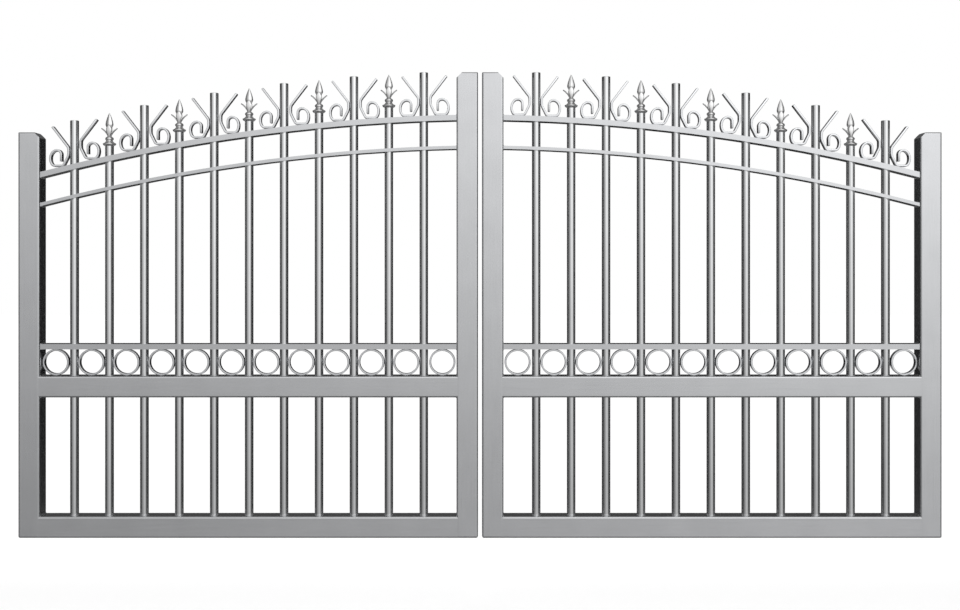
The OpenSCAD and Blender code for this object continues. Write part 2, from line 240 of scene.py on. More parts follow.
def smooth(obj, angle=35):
    """Shades a piece smoothly, apart from edges that turn by more than the angle."""
    make_active(obj)
    bpy.ops.object.shade_smooth_by_angle(angle=math.radians(angle))
    return obj


def solids(node):
    """The low and high corners of each solid of a CAD node whose solids stand in a row along X."""
    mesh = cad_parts[node].data
    gap = 0.1 * MM
    faces = [[mesh.vertices[v].co for v in face.vertices] for face in mesh.polygons]
    faces.sort(key=lambda face: min(p.x for p in face))
    groups = []
    reach = -math.inf
    for face in faces:
        if min(p.x for p in face) > reach + gap:
            groups.append([])
        groups[-1] += face
        reach = max(reach, max(p.x for p in face))
    return [tuple(Vector([end(p[i] for p in group) for i in range(3)]) for end in (min, max))
            for group in groups]


def finish_piece(obj, body, slot, material, *nodes):
    """Gives a new piece its finish and its body, and hides the CAD nodes that it stands for."""
    obj.data.materials.clear()
    obj.data.materials.append(material)
    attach(obj, body)
    if nodes:
        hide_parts(*nodes)
    return obj


def millimetres(outline):
    """An outline given in millimetres, in metres."""
    return [(radius * MM, height * MM) for radius, height in outline]


def lathe(centre, outline, segments):
    """Turns an outline of (radius, height) pairs into a closed shell about a vertical axis."""
    deselect()
    radius, height = outline[0]
    bpy.ops.mesh.primitive_circle_add(vertices=segments, radius=radius, fill_type="NGON",
                                      location=centre + Vector((0, 0, height)))
    obj = settle(bpy.context.object)
    edit(obj)
    bpy.ops.mesh.select_all(action="SELECT")
    bpy.ops.mesh.flip_normals()
    for new_radius, new_height in outline[1:]:
        bpy.ops.mesh.extrude_region_move(
            TRANSFORM_OT_translate={"value": (0, 0, new_height - height)})
        scale = new_radius / radius
        bpy.ops.transform.resize(value=(scale, scale, 1), center_override=centre)
        radius, height = new_radius, new_height
    bpy.ops.mesh.select_all(action="SELECT")
    bpy.ops.mesh.normals_make_consistent(inside=False)
    done()
    return obj


# ---------- materials ----------

def add_node(tree, kind, settings=None, links=None):
    """Adds a node, sets its properties and sockets by name, and links its sockets."""
    node = tree.nodes.new(kind)
    for key, value in (settings or {}).items():
        if isinstance(key, str) and key not in node.inputs:
            setattr(node, key, value)
        else:
            node.inputs[key].default_value = value
    for key, source in (links or {}).items():
        tree.links.new(source, node.inputs[key])
    return node


# How a grain is scaled along X, Y and Z: a small share draws it out along that axis
UPWARDS = (1, 1, 0.02)
ALONG = (0.02, 1, 1)
EVEN = (1, 1, 1)
# How far the grain moves a metal's roughness and its shade
ROUGHNESS_SPREAD = 0.05
SHADE_SPREAD = 0.07


def satin_metal(name, tint, metallic, roughness, grain_mm, stretch, relief_mm):
    """A brushed, drawn or tumbled metal, with a grain so wide and deep, in millimetres."""
    material = bpy.data.materials.new(name)
    material.use_nodes = True
    tree = material.node_tree
    shader = tree.nodes["Principled BSDF"]
    place = add_node(tree, "ShaderNodeTexCoord")
    grain_map = add_node(tree, "ShaderNodeMapping", {"Scale": stretch},
                         {"Vector": place.outputs["Object"]})
    grain = add_node(tree, "ShaderNodeTexNoise",
                     {"Scale": 1 / (grain_mm * MM), "Detail": 3.0, "Roughness": 0.6},
                     {"Vector": grain_map.outputs["Vector"]})
    # slow clouding of the satin, about a hand's width (110 mm) across
    cloud = add_node(tree, "ShaderNodeTexNoise", {"Scale": 9.0, "Detail": 2.0},
                     {"Vector": place.outputs["Object"]})
    marks = add_node(tree, "ShaderNodeMath", {"operation": "ADD"},
                     {0: cloud.outputs["Fac"], 1: grain.outputs["Fac"]})
    shade = add_node(tree, "ShaderNodeMapRange",
                     {"From Min": 0.4, "From Max": 1.6,
                      "To Min": 1 - SHADE_SPREAD, "To Max": 1 + SHADE_SPREAD},
                     {"Value": marks.outputs[0]})
    tone = add_node(tree, "ShaderNodeVectorMath", {"operation": "SCALE", 0: tint[:3]},
                    {"Scale": shade.outputs["Result"]})
    tree.links.new(tone.outputs["Vector"], shader.inputs["Base Color"])
    rough = add_node(tree, "ShaderNodeMapRange",
                     {"To Min": roughness - ROUGHNESS_SPREAD, "To Max": roughness + ROUGHNESS_SPREAD},
                     {"Value": grain.outputs["Fac"]})
    tree.links.new(rough.outputs["Result"], shader.inputs["Roughness"])
    if relief_mm:
        bump = add_node(tree, "ShaderNodeBump", {"Strength": 0.35, "Distance": relief_mm * MM},
                        {"Height": grain.outputs["Fac"]})
        tree.links.new(bump.outputs["Normal"], shader.inputs["Normal"])
    shader.inputs["Metallic"].default_value = metallic
    return material


def make_materials():
    """The gate's metals by name.

    The real grain is only a few tenths of a millimetre wide. It is drawn 1.5 to 3 mm wide so that it
    shows, and is kept as faint as the real one.
    """
    finish = bpy.context.scene.gate_finishes
    return {
        # extruded, brushed and anodised aluminium: an even grey sheen with faint lines up the tube
        "upright": satin_metal("Satin anodised upright tube", finish.tube,
                               0.88, 0.18, 3, UPWARDS, 0.01),
        # the same tube lying down: its faint lines run along the rail
        "rail": satin_metal("Satin anodised rail tube", finish.tube,
                            0.88, 0.18, 3, ALONG, 0.01),
        # thin extruded rail, smoother than the frame: the arches shine a little more than the rails
        "flat": satin_metal("Satin anodised flat rail", finish.flat,
                            0.88, 0.16, 3, ALONG, 0.01),
        # drawn tube, finely brushed and shiny across: a bright middle between two dark edges, and a
        # grey lighter than the frame's that is painted light
        "bar": satin_metal("Satin drawn round tube", finish.bar,
                           0.95, 0.1, 3, UPWARDS, 0),
        # flat bar bent cold and rubbed down by hand: a soft shine with marks that run no one way, and a
        # grey lighter than the frame's that is painted light
        "bent": satin_metal("Bent flat bar", finish.bent,
                            0.93, 0.18, 2, EVEN, 0.01),
        # sand casting tumbled with stones: a soft shine over fine pits, and a grey lighter than the
        # frame's that is painted light
        "cast": satin_metal("Tumbled casting", finish.cast,
                            0.93, 0.16, 1.5, EVEN, 0.01),
        # weld bead cleaned with a wire brush: duller than the tube beside it, with a broken shine
        "weld": satin_metal("Brushed weld bead", finish.tube,
                            0.88, 0.3, 1.5, EVEN, 0.02),
        # steel with a bright zinc plate: a colder and darker grey than the aluminium
        "zinc": satin_metal("Bright zinc plate", finish.zinc,
                            0.88, 0.25, 1.5, EVEN, 0.01),
    }


MATERIALS = {}


def metal(name):
    """One of the gate's metals, which are made when the first is asked for."""
    if not MATERIALS:
        MATERIALS.update(make_materials())
    return MATERIALS[name]


# ---------- pieces ----------

class GATE_OT_frames(bpy.types.Operator):
    """Finishes the stiles, rails, arches and hinges, which keep their CAD shapes"""
    bl_idname = "gate.frames"
    bl_label = "Frames"

    def execute(self, context):
        finishes = {"hinge_stile": "upright", "meeting_stile": "upright", "bottom_rail": "rail",
                    "middle_rail": "rail", "ring_rail": "flat", "top_arch": "flat",
                    "lower_arch": "flat", "lower_eye": "zinc", "upper_eye": "zinc",
                    "lower_bracket": "zinc", "upper_bracket": "zinc"}
        for side in SIDES:
            for node, finish in finishes.items():
                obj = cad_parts[f"{side}_{node}"]
                obj.data.materials.clear()
                obj.data.materials.append(metal(finish))
        return {"FINISHED"}


class GATE_OT_bars(bpy.types.Operator):
    """Adds the round bars, with the edges of their tops eased"""
    bl_idname = "gate.bars"
    bl_label = "Bars"
    ease: length("Eased edge", "Rounding of a bar's top edge", 1.5)

    def execute(self, context):
        for side in SIDES:
            for kind in ("plain_bars", "spear_bars"):
                node = f"{side}_{kind}"
                bars = [self.bar(low, high) for low, high in solids(node)]
                piece = joined(bars, f"{node}_tube")
                finish_piece(piece, f"{side}_leaf", "round_bars", metal("bar"), node)
        return {"FINISHED"}

    def bar(self, low, high):
        """One bar that fills its CAD solid's box."""
        deselect()
        centre = (low + high) / 2
        bpy.ops.mesh.primitive_cylinder_add(vertices=48, radius=(high.y - low.y) / 2,
                                            depth=high.z - low.z, location=centre)
        obj = settle(bpy.context.object)
        edit(obj)
        # a loop close under the rounded end keeps the shading of the long side level
        bpy.ops.mesh.select_all(action="SELECT")
        bpy.ops.mesh.bisect(plane_co=(centre.x, centre.y, high.z - 2 * self.ease), plane_no=(0, 0, 1))
        pick(obj, "EDGE", lambda p, e: p.z > high.z - MM
             and abs(e.verts[0].co.z - e.verts[1].co.z) < MM)
        bpy.ops.mesh.bevel(offset=self.ease, segments=3, affect="EDGES")
        done()
        return smooth(obj)


class GATE_OT_rings(bpy.types.Operator):
    """Adds the rings, bent from flat bar with eased edges"""
    bl_idname = "gate.rings"
    bl_label = "Rings"
    wall: length("Wall", "Thickness of the flat bar", 7)

    def execute(self, context):
        for side in SIDES:
            node = f"{side}_rings"
            boxes = solids(node)
            first = self.ring(*boxes[0])
            middle = (boxes[0][0] + boxes[0][1]) / 2
            rings = [first]
            for low, high in boxes[1:]:
                rings.append(copy_of(first, "ring"))
                shift(rings[-1], (low + high) / 2 - middle)
            piece = joined(rings, f"{node}_bent")
            finish_piece(piece, f"{side}_leaf", "bent_flat_bar", metal("bent"), node)
        return {"FINISHED"}

    def ring(self, low, high):
        """One ring that fills its CAD solid's box."""
        deselect()
        bpy.ops.mesh.primitive_cylinder_add(
            vertices=64, radius=(high.z - low.z) / 2, depth=high.y - low.y,
            end_fill_type="NOTHING", location=(low + high) / 2, rotation=(math.pi / 2, 0, 0))
        obj = settle(bpy.context.object)
        wall = obj.modifiers.new("Wall", "SOLIDIFY")
        wall.thickness = self.wall
        wall.offset = -1
        bpy.ops.object.modifier_apply(modifier=wall.name)
        return bevel(obj, BENT_EDGE, 3, level=True)


def scroll_path(size):
    """The scroll's centre line as (out, up) points, from the upper tip to the curl's inner end."""
    corners = [(size.tip_x, size.tip_z), (size.knee_x, size.knee_high), (size.knee_x, size.knee_low),
               (size.foot_in, 0), (size.foot_out, 0)]
    bend_start = 8 * MM
    points = [Vector(corners[0])]
    for before, corner, after in zip(corners, corners[1:], corners[2:]):
        points += bend(Vector(before), Vector(corner), Vector(after), bend_start, 4)
    # the curl's three quarter turns: (centre out, centre up, reach out, reach up, start, end)
    lower = (size.foot_out, size.curl_mid, size.curl_x - size.foot_out, size.curl_mid, -90, 0)
    upper = (size.curl_top_x, size.curl_mid, size.curl_x - size.curl_top_x,
             size.curl_top - size.curl_mid, 0, 90)
    inner = (size.curl_top_x, size.curl_top - size.curl_in, size.curl_in, size.curl_in, 90, 180)
    arc_steps = 10
    for x, z, wide, high, start, end in (lower, upper, inner):
        for step in range(0 if start == -90 else 1, arc_steps + 1):
            angle = math.radians(start + (end - start) * step / arc_steps)
            points.append(Vector((x + wide * math.cos(angle), z + high * math.sin(angle))))
    points.append(Vector((size.curl_top_x - size.curl_in, size.curl_end)))
    return points


def bend(before, corner, after, back, steps):
    """Points around a corner, on a curve that leaves each straight at most back from the corner."""
    # less than half of a straight goes to each bend, so that two bends never meet
    share = 2.2
    start = corner + (before - corner).normalized() * min(back, (before - corner).length / share)
    end = corner + (after - corner).normalized() * min(back, (after - corner).length / share)
    points = []
    for step in range(steps + 1):
        t = step / steps
        points.append(start * (1 - t) ** 2 + corner * 2 * t * (1 - t) + end * t ** 2)
    return points


def sweep(points, widths, thickness, origin, sides=0):
    """Extrudes a section, as wide as widths say, along points in the XZ plane.

    The section is a flat bar's, or an oval with so many sides.
    """
    headings = [math.atan2((b - a).x, (b - a).y) for a, b in zip(points, points[1:])]
    deselect()
    place = {"location": origin + Vector((points[0].x, 0, points[0].y)),
             "rotation": (0, headings[0], 0)}
    if sides:
        bpy.ops.mesh.primitive_circle_add(vertices=sides, radius=0.5, fill_type="NGON", **place)
    else:
        bpy.ops.mesh.primitive_plane_add(size=1, **place)
    obj = bpy.context.object
    obj.scale = (thickness, widths[0], 1)
    settle(obj)
    edit(obj)
    bpy.ops.mesh.select_all(action="SELECT")
    least_turn = 1e-6
    heading = headings[0]
    for i in range(1, len(points)):
        step = points[i] - points[i - 1]
        bpy.ops.mesh.extrude_region_move(TRANSFORM_OT_translate={"value": (step.x, 0, step.y)})
        if i < len(headings):
            turn = (headings[i] - headings[i - 1] + math.pi) % (2 * math.pi) - math.pi
            facing = headings[i - 1] + turn / 2
        else:
            facing = headings[-1]
        swing = (facing - heading + math.pi) % (2 * math.pi) - math.pi
        centre = origin + Vector((points[i].x, 0, points[i].y))
        if abs(swing) > least_turn:
            bpy.ops.transform.rotate(value=ROTATE_SIGN * swing, orient_axis="Y",
                                     center_override=centre)
        if widths[i] != widths[i - 1]:
            bpy.ops.transform.resize(value=(1, widths[i] / widths[i - 1], 1),
                                     center_override=centre)
        heading = facing
    bpy.ops.mesh.select_all(action="SELECT")
    bpy.ops.mesh.normals_make_consistent(inside=False)
    done()
    return obj


class GATE_OT_scrolls(bpy.types.Operator):
    """Adds the scrolls, bent from flat bar, in mirrored pairs on the top arch"""
    bl_idname = "gate.scrolls"
    bl_label = "Scrolls"

    def execute(self, context):
        size = context.scene.gate_scrolls
        for side in SIDES:
            node = f"{side}_scrolls"
            boxes = solids(node)
            low, high = boxes[1]
            knee = size.knee_x - size.thickness / 2
            start = Vector((low.x - knee, (low.y + high.y) / 2, low.z + size.thickness / 2))
            line = scroll_path(size)
            first = sweep(line, [high.y - low.y] * len(line), size.thickness, start)
            bevel(first, BENT_EDGE, 3)
            scrolls = []
            for index, (low, high) in enumerate(boxes):
                scrolls.append(copy_of(first, "scroll"))
                inward = index % 2 == 0
                pair_x = high.x + knee if inward else low.x - knee
                if inward:
                    mirror_x(scrolls[-1], start.x)
                shift(scrolls[-1], (pair_x - start.x, 0, low.z + size.thickness / 2 - start.z))
            bpy.data.objects.remove(first)
            piece = joined(scrolls, f"{node}_bent")
            finish_piece(piece, f"{side}_leaf", "bent_flat_bar", metal("bent"), node)
        return {"FINISHED"}


class GATE_OT_spear_heads(bpy.types.Operator):
    """Adds the cast spear heads: flange, bead, four leaves and a ridged blade"""
    bl_idname = "gate.spear_heads"
    bl_label = "Spear heads"
    stub: length("Stub", "Length of the stub inside the bar", 15)

    def execute(self, context):
        for side in SIDES:
            node = f"{side}_spear_heads"
            boxes = solids(node)
            low, high = boxes[0]
            base = Vector(((low.x + high.x) / 2, (low.y + high.y) / 2, low.z + self.stub))
            first = self.spear_head(base)
            heads = [first]
            for low, high in boxes[1:]:
                heads.append(copy_of(first, "spear"))
                place = Vector(((low.x + high.x) / 2, (low.y + high.y) / 2, low.z + self.stub))
                shift(heads[-1], place - base)
            piece = joined(heads, f"{node}_cast")
            finish_piece(piece, f"{side}_leaf", "cast_spears", metal("cast"), node)
        return {"FINISHED"}

    def spear_head(self, base):
        """The stub, flange, bead and neck in one turned body, with the blade and the leaves on it."""
        # (radius, height over the bar's top) in millimetres
        outline = [(13.8, -14.9), (13.8, 0), (17.5, 0), (20.5, 1.4), (22.8, 3.6), (24.1, 6),
                   (24.5, 7.9), (23.9, 9.2), (21.8, 10.2), (19.4, 11.2), (17.2, 12.8), (15, 15),
                   (13.2, 17.4), (12.3, 19.4), (12.6, 21), (14.2, 22.6), (15.2, 24.6), (15.5, 26.6),
                   (15.1, 29), (13.8, 31.2), (11.6, 33), (9.2, 34.6), (7.4, 36.6), (6.4, 39.4),
                   (6, 44), (6.2, 50), (6, 56)]
        body = lathe(base, millimetres(outline), 40)
        smooth(body, 50)
        return joined([body, self.blade(base)] + [self.leaf(base, k) for k in range(4)], "spear")

    def blade(self, base):
        """The pointed blade, flatter from front to back, with a soft ridge down each face."""
        outline = [(5.2, 50), (6.2, 58), (8.6, 65), (11.8, 71), (14, 75.5), (14.8, 79.5), (14.3, 85),
                   (12.7, 93), (10.2, 101), (7.4, 109), (4.6, 116), (2.1, 121), (0.5, 123.9)]
        flatness = 0.55
        ridge = 1.18
        obj = lathe(base, millimetres(outline), 24)
        edit(obj)
        bpy.ops.mesh.select_all(action="SELECT")
        bpy.ops.transform.resize(value=(1, flatness, 1), center_override=base)
        pick(obj, "VERT", lambda p, v: abs(p.x - base.x) < 0.05 * MM)
        bpy.ops.transform.resize(value=(1, ridge, 1), center_override=base)
        done()
        return smooth(obj, 50)

    def leaf(self, base, turn):
        """One pointed leaf: a side one curves out from the neck, a front or back one hugs the blade."""
        if turn % 2:
            line = [(9, 33), (9.8, 38), (10.5, 44), (11, 50), (11.2, 57), (11.1, 64), (10.7, 71),
                    (9.8, 79)]
            breadth = [8, 11, 15, 19, 22, 21, 16, 5]
        else:
            line = [(3.4, 33), (5.4, 38.5), (8.2, 44), (11.8, 49.4), (16, 54.6), (20.8, 59.2),
                    (25.8, 63.2), (31, 66.6)]
            breadth = [8, 11, 14, 16, 16, 14, 10, 3]
        thickness = 5 * MM
        obj = sweep([Vector(p) * MM for p in line], [b * MM for b in breadth], thickness, base, 12)
        turned(obj, "Z", base, turn * math.pi / 2)
        rounded = obj.modifiers.new("Rounded", "SUBSURF")
        rounded.levels = rounded.render_levels = 1
        bpy.ops.object.modifier_apply(modifier=rounded.name)
        return smooth(obj, 60)


class GATE_OT_hinge_fittings(bpy.types.Operator):
    """Adds the brackets' hexagon bolts, and the washer and cap on each hinge pin"""
    bl_idname = "gate.hinge_fittings"
    bl_label = "Hinge fittings"
    plate: length("Plate", "Thickness of a bracket's plate", 8)
    across: length("Bolt head", "Across the flats of a bolt's head", 15)
    head: length("Head height", "Height of a bolt's head", 6.4)
    pitch_y: length("Bolt spacing", "Between a plate's bolts, from front to back", 50)
    pitch_z: length("Bolt row spacing", "Between a plate's bolts, up the post", 120)
    eye: length("Eye radius", "Outside radius of a leaf's eye", 13)
    eye_top: length("Eye top", "Top of a leaf's eye, above the bracket's middle", 30.3)
    pin: length("Pin radius", "Radius of a hinge pin", 8)

    def execute(self, context):
        middle = (CAD_BOX[0][0] + CAD_BOX[1][0]) / 2
        for level in ("lower", "upper"):
            low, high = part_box(f"left_{level}_bracket")
            face = Vector((low.x + self.plate, (low.y + high.y) / 2, (low.z + high.z) / 2))
            bolts = [self.bolt(face + Vector((0, y * self.pitch_y / 2, z * self.pitch_z / 2)))
                     for y in (-1, 1) for z in (-1, 1)]
            eye_low, eye_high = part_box(f"left_{level}_eye")
            top = Vector((eye_low.x + self.eye, eye_high.y - self.eye, face.z + self.eye_top))
            for kind, pieces in (("bolts", bolts), ("pin_cap", [self.washer(top), self.cap(top)])):
                left = joined(pieces, f"left_{level}_{kind}")
                right = copy_of(left, f"right_{level}_{kind}")
                mirror_x(right, middle)
                for piece in (left, right):
                    finish_piece(piece, "hinge_brackets", "hinges", metal("zinc"))
        return {"FINISHED"}

    def bolt(self, centre):
        """A bolt along X whose head stands on centre, with its shank back in the plate's hole."""
        corner = self.across / math.sqrt(3)
        chamfer = 0.9 * MM
        seat = 0.6 * MM
        seat_radius = self.across / 2 - 0.3 * MM
        shank_radius = 5 * MM
        shank_end = -self.plate + 0.5 * MM
        head = lathe(centre + Vector((0, 0, seat)),
                     [(corner, 0), (corner, self.head - seat - chamfer),
                      (corner - chamfer, self.head - seat)], 6)
        shank = lathe(centre, [(shank_radius, shank_end), (shank_radius, 0), (seat_radius, 0),
                               (seat_radius, seat + 0.1 * MM)], 24)
        bevel(head, 0.35 * MM, 2, 25)
        smooth(shank)
        return turned(joined([head, shank], "bolt"), "Y", centre)

    def washer(self, top):
        """A washer over the leaf's eye, which stays with the pin while the eye turns."""
        inner = self.pin + 4.2 * MM
        outer = self.pin + 4.6 * MM
        outline = [(inner, 0.3 * MM), (outer, 0.7 * MM), (outer, 1.5 * MM), (inner, 1.9 * MM)]
        return smooth(lathe(top, outline, 40), 50)

    def cap(self, top):
        """A domed cap pressed over the end of the pin."""
        outline = [(9.4, 1.8), (10, 2.3), (10, 6.2), (9.6, 7.6), (8.4, 8.8), (6.4, 9.7), (3.6, 10.2),
                   (0.8, 10.3)]
        return smooth(lathe(top, millimetres(outline), 40), 50)


class GATE_OT_welds(bpy.types.Operator):
    """Adds the weld beads in the corners of the frames, on their backs, and around the bars' feet"""
    bl_idname = "gate.welds"
    bl_label = "Welds"
    radius: length("Bead", "Radius of a frame's weld bead", 2.6)

    def execute(self, context):
        middle = (CAD_BOX[0][0] + CAD_BOX[1][0]) / 2
        self.bead = self.rippled_bead()
        beads = self.corners() + self.eyes() + self.feet()
        bpy.data.objects.remove(self.bead)
        left = joined(beads, "left_weld_beads")
        right = copy_of(left, "right_weld_beads")
        mirror_x(right, middle)
        for side, piece in zip(SIDES, (left, right)):
            finish_piece(piece, f"{side}_leaf", "frame_tube", metal("weld"))
        return {"FINISHED"}

    def corners(self):
        """The beads where the rails and arches meet the stiles, above, below and up the back."""
        hinge, meeting = (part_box(f"left_{stile}_stile") for stile in ("hinge", "meeting"))
        edge = 6 * MM
        beads = []
        for rail in ("bottom_rail", "middle_rail", "ring_rail", "top_arch", "lower_arch"):
            low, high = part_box(f"left_{rail}")
            along_y = (high.y - low.y) - 2 * edge
            for x, end in ((hinge[1].x, low.x), (meeting[0].x, high.x)):
                if "rail" in rail:
                    levels = [z for z in (low.z, high.z) if z > hinge[0].z + MM]
                else:
                    heights = [v.co.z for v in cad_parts[f"left_{rail}"].data.vertices
                               if abs(v.co.x - end) < 1.5 * MM]
                    levels = [min(heights), max(heights)]
                beads += [self.laid(Vector((x, (low.y + high.y) / 2, z)), "Y", along_y)
                          for z in levels]
                if rail in ("bottom_rail", "middle_rail"):
                    back = Vector((x, high.y - 1.5 * MM, (low.z + high.z) / 2))
                    beads.append(self.laid(back, "Z", high.z - low.z - edge))
        return beads

    def eyes(self):
        """The beads around the hinge eyes' plates, on the back of the hinge stile."""
        plate_middle = 26 * MM
        across = 50 * MM
        upright = 86 * MM
        beads = []
        for level in ("lower", "upper"):
            low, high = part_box(f"left_{level}_eye")
            for z in (low.z, high.z):
                beads.append(self.laid(Vector((high.x - plate_middle, low.y, z)), "X", across))
            beads.append(self.laid(Vector((high.x, low.y, (low.z + high.z) / 2)), "Z", upright))
        return beads

    def rippled_bead(self):
        """The bead that the others are copies of, 70 mm tall about the origin, with fine ripples."""
        half = 35
        ripple = 1.25
        valley = 0.86
        taper = [(0.4, half), (0.85, half - 0.6)]
        outline = [(share * self.radius, -height * MM) for share, height in taper]
        for step in range(55):
            height = ripple - half + ripple * step
            outline.append((self.radius * (1 if step % 2 else valley), height * MM))
        outline += [(share * self.radius, height * MM) for share, height in reversed(taper)]
        self.bead_length = 2 * half * MM
        return smooth(lathe(Vector(), outline, 10), 60)

    def laid(self, centre, axis, run):
        """A copy of the bead along an axis, stretched to its run."""
        bead = copy_of(self.bead, "bead")
        edit(bead)
        bpy.ops.mesh.select_all(action="SELECT")
        bpy.ops.transform.resize(value=(1, 1, run / self.bead_length), center_override=(0, 0, 0))
        done()
        if axis != "Z":
            turned(bead, "X" if axis == "Y" else "Y", (0, 0, 0))
        shift(bead, centre)
        return bead

    def feet(self):
        """The beads around each bar where it meets the square rails."""
        bottom, middle = (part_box(f"left_{rail}_rail") for rail in ("bottom", "middle"))
        beads = []
        first = None
        for low, high in solids("left_plain_bars") + solids("left_spear_bars"):
            if not first:
                bar = (high.y - low.y) / 2
                # (distance out from the bar's side, height over the rail) in millimetres
                section = [(2.2, -0.4), (2.2, 0.4), (1.7, 1.2), (0.8, 1.9), (-0.5, 2.3)]
                outline = [(bar + out, height) for out, height in millimetres(section)]
                first = smooth(lathe(Vector(), outline, 28), 60)
            for z, upward in ((bottom[1].z, 1), (middle[0].z, -1), (middle[1].z, 1)):
                bead = copy_of(first, "bead")
                if upward < 0:
                    turned(bead, "X", (0, 0, 0), math.pi)
                shift(bead, Vector(((low.x + high.x) / 2, (low.y + high.y) / 2, z)))
                beads.append(bead)
        bpy.data.objects.remove(first)
        return beads


# ---------- studio ----------

# The floor's side in metres, and how far what the camera sees of it is lifted to white
FLOOR_SIDE = 40
FLOOR_GLOW = 0.78
# How wide a lamp looks from the gate, in degrees, and the brightness of the room around the gate
LAMP_WIDTH = 15
ROOM_LEVEL = 0.12
# The light tent's radius in metres, and the brightness of its front cloth
TENT_RADIUS = 30
TENT_LEVEL = 2.2
# (degrees around the gate from straight in front, share of the front cloth's brightness)
FRONT_CLOTH = (
    (-180, 0.015), (-100, 0.02), (-65, 0.04), (-44, 0.38), (-18, 0.57), (-8, 0.7), (0, 0.73),
    (17, 0.95), (33, 0.86), (52, 0.52), (65, 0.03), (78, 0), (180, 0),
)
# (share of the tent's radius above eye height, share of the front cloth's brightness)
CLOTH_HEIGHT = (
    (-1, 0.03), (-0.75, 0.06), (-0.55, 0.28), (-0.2, 0.305), (0, 0.54), (0.14, 0.74),
    (0.35, 0.86), (0.6, 0.7), (1, 0.4),
)
# (share of the tent's radius above eye height, least brightness all around)
REAR_CLOTH = (
    (-1, 0.03), (-0.75, 0.06), (-0.6, 0.24), (-0.5, 0.36), (-0.28, 0.36), (-0.22, 0),
    (0.13, 0), (0.17, 0.08), (0.3, 0.08), (0.6, 0.26), (1, 0.36),
)


